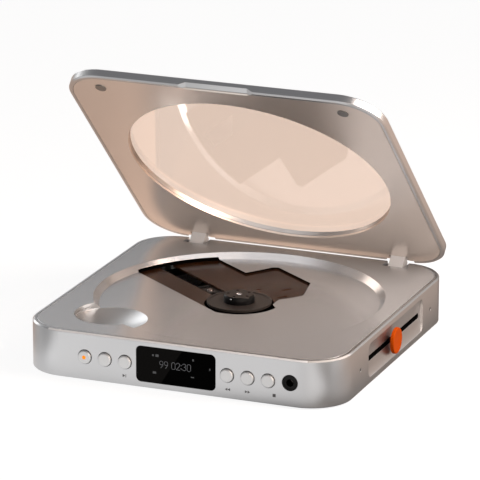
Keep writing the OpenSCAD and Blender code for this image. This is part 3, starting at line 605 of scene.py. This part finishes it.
# %% [markdown]
# ## The pickup's lens
#
# The lens is a small moulded aspheric dome with a flat flange. Seen from the side it is a pale
# spot in the dark slot, because the dome always mirrors some light.

# %% Lens
low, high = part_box("objective_lens")
lens_radius = (high.x - low.x) / MM / 2
lens_height = (high.z - low.z) / MM
DOME_SHARE = 0.82
FLANGE_SHARE = 0.4
profile = [(0, 0), (lens_radius, 0), (lens_radius, 0.35 * lens_height),
           (lens_radius * DOME_SHARE, FLANGE_SHARE * lens_height)]
profile += [(lens_radius * DOME_SHARE * math.cos(math.radians(turn)),
             (FLANGE_SHARE + (1 - FLANGE_SHARE) * math.sin(math.radians(turn))) * lens_height)
            for turn in (15, 30, 45, 60, 75, 90)]
points, faces = lathe(profile, ((low.x + high.x) / 2, (low.y + high.y) / 2, low.z), (0, 0, 1), 64)
make_piece("lens_dome", points, faces, lens_glass, "lens", ["objective_lens"])
print("lens dome", round(2 * lens_radius, 1), "mm across")

# %% [markdown]
# ## Printed signs
#
# Small signs in grey ink lie under the keys: play, back, forward and stop. Each is a flat
# outline, 0.02 mm thick, on the front face.

# %% Signs
def flat_sign(name, outlines, y, thickness, finish):
    """Flat outlines [(x, z)] in mm, standing out of a face at y by a thickness."""
    points, faces = [], []
    for outline in outlines:
        start, count = len(points), len(outline)
        for depth in (0.0, -thickness):
            points += [Vector((x, y + depth, z)) * MM for x, z in outline]
        faces.append(tuple(range(start + count, start + 2 * count)))
        faces += [(start + k, start + (k + 1) % count, start + count + (k + 1) % count,
                   start + count + k) for k in range(count)]
    return make_piece(name, points, faces, finish, "base", smooth=10)


def arrow(x, z, width, height, way):
    """A triangle that points to +X or -X."""
    return [(x - way * width / 2, z - height / 2), (x - way * width / 2, z + height / 2),
            (x + way * width / 2, z)]


def bar(x, z, width, height):
    """An upright rectangle."""
    return [(x - width / 2, z - height / 2), (x + width / 2, z - height / 2),
            (x + width / 2, z + height / 2), (x - width / 2, z + height / 2)]


SIGN_Z = 5.25
INK = 0.02
signs = {
    "play": [arrow(-25.7, SIGN_Z, 1.3, 1.5, 1), bar(-24.75, SIGN_Z, 0.3, 1.5)],
    "back": [arrow(24.8, SIGN_Z, 1.2, 1.4, -1), arrow(26.1, SIGN_Z, 1.2, 1.4, -1)],
    "forward": [arrow(34.6, SIGN_Z, 1.2, 1.4, 1), arrow(35.9, SIGN_Z, 1.2, 1.4, 1)],
    "stop": [bar(48.2, SIGN_Z, 1.5, 1.5)],
}
for sign, outlines in signs.items():
    flat_sign(sign + "_sign", outlines, FRONT, INK, sign_ink)
print(len(signs), "signs,", INK, "mm thick")

# %% [markdown]
# ## The display's figures
#
# The display shows a track number and a time. The figures are drawn with strokes 0.22 mm wide
# on a grid of one by two, each stroke a flat bar with round ends, which is how thin figures of a
# small screen look from a step away.

# %% Figures
STROKES = {
    "0": [[(0, 0.3), (0, 1.7), (0.3, 2), (0.7, 2), (1, 1.7), (1, 0.3), (0.7, 0), (0.3, 0),
           (0, 0.3)]],
    "2": [[(0, 1.6), (0.2, 1.93), (0.5, 2), (0.8, 1.93), (1, 1.6), (0.9, 1.2), (0, 0), (1, 0)]],
    "3": [[(0, 1.65), (0.25, 1.95), (0.7, 1.95), (0.98, 1.6), (0.8, 1.15), (0.45, 1.05)],
          [(0.45, 1.05), (0.85, 0.95), (1, 0.5), (0.75, 0.08), (0.25, 0.05), (0, 0.35)]],
    "9": [[(1, 1.4), (0.85, 0.98), (0.5, 0.88), (0.15, 1.02), (0, 1.45), (0.15, 1.87),
           (0.5, 2), (0.85, 1.87), (1, 1.45), (0.92, 0.75), (0.35, 0)]],
}
FIGURE_HEIGHT = 3.3
FIGURE_WIDTH = 1.75
STROKE = 0.22
BETWEEN_FIGURES = 0.55
SPACE, COLON_SPACE = 1.35, 0.75
FIGURES_LEFT = -7.95
FIGURES_FOOT = 11.35
GLOW_THICKNESS = 0.015
GLASS_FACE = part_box("display_window")[0].y / MM


def stroke_bars(path, x, z):
    """Bars along a path of a figure, as outlines in mm."""
    wide, tall = FIGURE_WIDTH, FIGURE_HEIGHT / 2
    bars = []
    for (ax, az), (bx, bz) in zip(path, path[1:]):
        start = Vector((x + ax * wide, z + az * tall))
        end = Vector((x + bx * wide, z + bz * tall))
        along = (end - start).normalized() * STROKE / 2
        across = Vector((-along.y, along.x))
        corners = (start - along * 0.6 - across, start - along - across * 0.3,
                   start - along + across * 0.3, start - along * 0.6 + across,
                   end + along * 0.6 + across, end + along + across * 0.3,
                   end + along - across * 0.3, end + along * 0.6 - across)
        bars.append([tuple(corner) for corner in corners])
    return bars


figures = []
pen = FIGURES_LEFT
for sign in "99 02:30":
    if sign == " ":
        pen += SPACE
    elif sign == ":":
        figures += [bar(pen + 0.1, 12.1, 0.4, 0.45), bar(pen + 0.1, 13.7, 0.4, 0.45)]
        pen += COLON_SPACE
    else:
        for path in STROKES[sign]:
            figures += stroke_bars(path, pen, FIGURES_FOOT)
        pen += FIGURE_WIDTH + BETWEEN_FIGURES
flat_sign("display_figures", figures, GLASS_FACE, GLOW_THICKNESS, display_glow)
# small plain fields at the edges of the screen
marks = [bar(-11.2, 17.0, 0.9, 0.9), bar(-9.2, 17.0, 1.5, 1.2), bar(-10.5, 8.7, 1.7, 1.0),
         bar(8.6, 17.0, 0.8, 0.9), bar(8.3, 8.7, 1.6, 0.5), bar(16.8, 13.5, 0.6, 1.0)]
flat_sign("display_marks", marks, GLASS_FACE, GLOW_THICKNESS, display_dim)
print("figures end at x", round(pen, 2), "mm")

# %% [markdown]
# ## The studio
#
# The player lies on a table in a room with darker and paler walls and a dim ceiling. A metal
# shows little but its surroundings, so these are what shapes it: the front face mirrors the
# table in front of it, the right side mirrors the peach table beside it, and the lid and the
# deck mirror the walls. The table has a row of grey tones from left to right, because a camera
# with a long lens sees each upright face mirror a narrow strip of it. All tones were set by trial,
# by comparing renders with the photo, so they suit its view best.
#
# To the camera and through the clear window all of it is plain white. The table keeps the shadow
# of the object, because only a part of its white is glow and the rest is lit. A Light Path node
# tells the rays of the eye from those of a mirror.

# %% Table
# the tones from X = TONES_LEFT to TONES_RIGHT: first, (share of the way, tone) ..., last
TONES_LEFT, TONES_RIGHT = -300 * MM, 200 * MM
TONES_IN_FRONT = (
    0.8, ((0.12, 0.8), (0.2, 0.4), (0.36, 0.45), (0.394, 0.5), (0.424, 1.3), (0.46, 1.08),
          (0.5, 1.02), (0.61, 1.02), (0.67, 0.98), (0.73, 0.82), (0.8, 1.1), (0.815, 0.1),
          (0.85, 0.1)), 0.9)
TONES_BESIDE = (
    0.6, ((0.35, 0.58), (0.38, 0.6), (0.42, 0.9), (0.48, 0.9), (0.6, 0.8), (0.72, 0.25),
          (0.76, 0.06), (0.77, 0.12), (0.785, 0.26), (0.8, 0.46), (0.83, 0.3), (0.88, 0.6)), 0.8)
BESIDE_FROM, BESIDE_TO = -98 * MM, -80 * MM
PEACH_FROM, PEACH_TO = -85 * MM, 0.0
MIRRORED_GLOW = 0.85
SEEN_GLOW = 0.87


def rays_of_the_eye(tree):
    """Adds a test that is 1 for camera rays, straight or through the clear window."""
    rays = add_node(tree, "ShaderNodeLightPath")
    direct = add_node(tree, "ShaderNodeMath", {0: rays.outputs["Glossy Depth"], 1: 0.5},
                      operation="LESS_THAN")
    through = add_node(tree, "ShaderNodeMath",
                       {0: rays.outputs["Is Transmission Ray"], 1: direct.outputs[0]},
                       operation="MULTIPLY")
    seen = add_node(tree, "ShaderNodeMath",
                    {0: rays.outputs["Is Camera Ray"], 1: through.outputs[0]},
                    operation="MAXIMUM")
    return seen, rays


def pale_table():
    """A table that is white to the eye, and grey to peach in the metal's reflections."""
    finish, tree = start_material("pale_table")
    seen, rays = rays_of_the_eye(tree)
    place = add_node(tree, "ShaderNodeSeparateXYZ",
                     {"Vector": add_node(tree, "ShaderNodeTexCoord").outputs["Object"]})
    across = add_node(tree, "ShaderNodeMapRange",
                      {"Value": place.outputs["X"], "From Min": TONES_LEFT,
                       "From Max": TONES_RIGHT})
    ramps = []
    for first, stops, last in (TONES_IN_FRONT, TONES_BESIDE):
        ramp = add_node(tree, "ShaderNodeValToRGB", {"Fac": across.outputs["Result"]})
        for spot, level in stops:
            ramp.color_ramp.elements.new(spot).color = (level, level, level, 1)
        ramp.color_ramp.elements[0].color = (first, first, first, 1)
        ramp.color_ramp.elements[-1].color = (last, last, last, 1)
        ramps.append(ramp)
    beside = add_node(tree, "ShaderNodeMapRange",
                      {"Value": place.outputs["Y"], "From Min": BESIDE_FROM,
                       "From Max": BESIDE_TO},
                      interpolation_type="SMOOTHSTEP")
    grey = add_node(tree, "ShaderNodeMix",
                    {"Factor": beside.outputs["Result"], 6: ramps[0].outputs["Color"],
                     7: ramps[1].outputs["Color"]}, data_type="RGBA")
    # it turns peach beside the player and behind it
    peach = add_node(tree, "ShaderNodeMapRange",
                     {"Value": place.outputs["Y"], "From Min": PEACH_FROM, "From Max": PEACH_TO},
                     interpolation_type="SMOOTHSTEP")
    tint = add_node(tree, "ShaderNodeMix",
                    {"Factor": peach.outputs["Result"], 6: linear("#FFFFFF"),
                     7: linear("#FFDDC7")}, data_type="RGBA")
    tone = add_node(tree, "ShaderNodeMix",
                    {"Factor": 1.0, 6: grey.outputs[2], 7: tint.outputs[2]},
                    data_type="RGBA", blend_type="MULTIPLY")
    mirrored = add_node(tree, "ShaderNodeMath",
                        {0: rays.outputs["Is Glossy Ray"], 1: MIRRORED_GLOW},
                        operation="MULTIPLY")
    matt = add_node(tree, "ShaderNodeBsdfDiffuse", {"Color": linear("#606060")})
    glow = add_node(tree, "ShaderNodeEmission",
                    {"Color": tone.outputs[2], "Strength": mirrored.outputs[0]})
    mirror_side = add_node(tree, "ShaderNodeAddShader", {0: matt.outputs[0], 1: glow.outputs[0]})
    pale = add_node(tree, "ShaderNodeBsdfDiffuse", {"Color": linear("#808080")})
    white = add_node(tree, "ShaderNodeEmission",
                     {"Color": linear("#FFFFFF"), "Strength": SEEN_GLOW})
    eye_side = add_node(tree, "ShaderNodeAddShader", {0: pale.outputs[0], 1: white.outputs[0]})
    both = add_node(tree, "ShaderNodeMixShader",
                    {0: seen.outputs[0], 1: mirror_side.outputs[0], 2: eye_side.outputs[0]})
    add_node(tree, "ShaderNodeOutputMaterial", {"Surface": both.outputs[0]})
    return finish


table_mesh = bpy.data.meshes.new("table")
TABLE_SIDE = 4.0
table_mesh.from_pydata([(x * TABLE_SIDE, y * TABLE_SIDE, 0) for x, y in
                        ((-1, -1), (1, -1), (1, 1), (-1, 1))], [], [(0, 1, 2, 3)])
table_mesh.materials.append(pale_table())
table = bpy.data.objects.new("table", table_mesh)
bpy.context.scene.collection.objects.link(table)
table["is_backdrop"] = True
print("table", 2 * TABLE_SIDE, "m wide")

# %% [markdown]
# ## Lamps
#
# A large warm box stands far off in front, low and to the right, and lights the front and the
# lid's inside evenly. A small one near the right side draws the highlights on the knob, the hub
# and the lens. A lamp's power is worked out from how bright its face is, so that a change of
# size leaves its mirror image as it was.

# %% Lamps
def lamp_box(name, place, aim, size, brightness, colour):
    """A soft rectangular lamp at a place, aimed at a point; its face is this bright."""
    light = bpy.data.lights.new(name, "AREA")
    light.shape = "RECTANGLE"
    light.size, light.size_y = size
    light.energy = brightness * math.pi * size[0] * size[1]
    light.color = linear(colour)[:3]
    lamp = bpy.data.objects.new(name, light)
    bpy.context.scene.collection.objects.link(lamp)
    lamp.location = place
    lamp.rotation_euler = (Vector(place) - Vector(aim)).to_track_quat("Z", "Y").to_euler()
    return lamp


lamps = [
    lamp_box("warm_box", (0.8, -1.1, 0.16), (0.0, 0.0, 0.03), (1.6, 0.9), 1.35, "#FFEAD9"),
    lamp_box("side_box", (0.28, 0.02, 0.25), (0.05, 0.0, 0.03), (0.26, 0.26), 8.4, "#FFF0E6"),
]
print("lamps of", [round(lamp.data.energy, 2) for lamp in lamps], "W")

# %% [markdown]
# ## The room
#
# The room is a world colour that depends on the direction alone. Walls go round the horizon with
# tones from left to right, and fade to a dim ceiling. On the left at the back there is a bright
# window, which draws the soft light along the lid's edge and on the deck. Over the clear window
# of the lid it is bright too, but only for rays that have passed through the window: that is
# what the well's bright wall mirrors.

# %% Room
WALL_TONES = ((0.3, (0.36, 0.36, 0.36)), (0.36, (0.15, 0.15, 0.15)), (0.62, (0.45, 0.41, 0.38)),
              (0.68, (0.5, 0.46, 0.42)), (0.72, (0.95, 0.92, 0.9)), (0.82, (0.95, 0.9, 0.86)))
WALL_LEFT, WALL_RIGHT = (0.6, 0.6, 0.6), (0.6, 0.46, 0.37)
CEILING = (0.22, 0.22, 0.23, 1)
WINDOW_LIGHT = (2.8, 2.8, 2.8, 1)
OVERHEAD_LIGHT = (1.2, 1.4, 1.6, 1)
# each share goes from 0 to 1 while this part of a ray's direction goes from start to end
SHARES = {"ceiling": ("Z", 0.35, 0.85), "window side": ("X", -0.43, -0.5),
          "window back": ("Y", 0.26, 0.38), "window foot": ("Z", 0.1, 0.3),
          "window top": ("Z", 0.65, 0.5), "overhead": ("Z", 0.7, 0.88)}

world = bpy.data.worlds.new("studio")
bpy.context.scene.world = world
world.use_nodes = True
world.node_tree.nodes.clear()
room = world.node_tree
direction = add_node(room, "ShaderNodeSeparateXYZ",
                     {"Vector": add_node(room, "ShaderNodeTexCoord").outputs["Generated"]})
across = add_node(room, "ShaderNodeMapRange",
                  {"Value": direction.outputs["X"], "From Min": -1.0, "From Max": 1.0})
walls = add_node(room, "ShaderNodeValToRGB", {"Fac": across.outputs["Result"]})
for spot, tone in WALL_TONES:
    walls.color_ramp.elements.new(spot).color = (*tone, 1)
walls.color_ramp.elements[0].color = (*WALL_LEFT, 1)
walls.color_ramp.elements[-1].color = (*WALL_RIGHT, 1)

share = {}
for name, (way, start, end) in SHARES.items():
    share[name] = add_node(room, "ShaderNodeMapRange",
                           {"Value": direction.outputs[way], "From Min": start, "From Max": end},
                           interpolation_type="SMOOTHSTEP").outputs["Result"]
# the window is where all of its sides agree
window = share["window side"]
for side in ("window back", "window foot", "window top"):
    window = add_node(room, "ShaderNodeMath", {0: window, 1: share[side]},
                      operation="MULTIPLY").outputs[0]
seen, rays = rays_of_the_eye(room)
over_window = add_node(room, "ShaderNodeMath",
                       {0: share["overhead"], 1: rays.outputs["Is Transmission Ray"]},
                       operation="MULTIPLY").outputs[0]

# the walls, then what covers them, one over the other
room_colour = walls.outputs["Color"]
for cover, tone in ((share["ceiling"], CEILING), (window, WINDOW_LIGHT),
                    (over_window, OVERHEAD_LIGHT), (seen.outputs[0], linear("#FFFFFF"))):
    room_colour = add_node(room, "ShaderNodeMix", {"Factor": cover, 6: room_colour, 7: tone},
                           data_type="RGBA").outputs[2]
background = add_node(room, "ShaderNodeBackground", {"Color": room_colour})
add_node(room, "ShaderNodeOutputWorld", {"Surface": background.outputs[0]})
print("room of", len(room.nodes), "nodes")

# %% Colour and the closing lines
bpy.context.scene.view_settings.view_transform = "Standard"
low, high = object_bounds()
print("visual box in mm:", [round(v / MM, 1) for v in (*low, *high)])
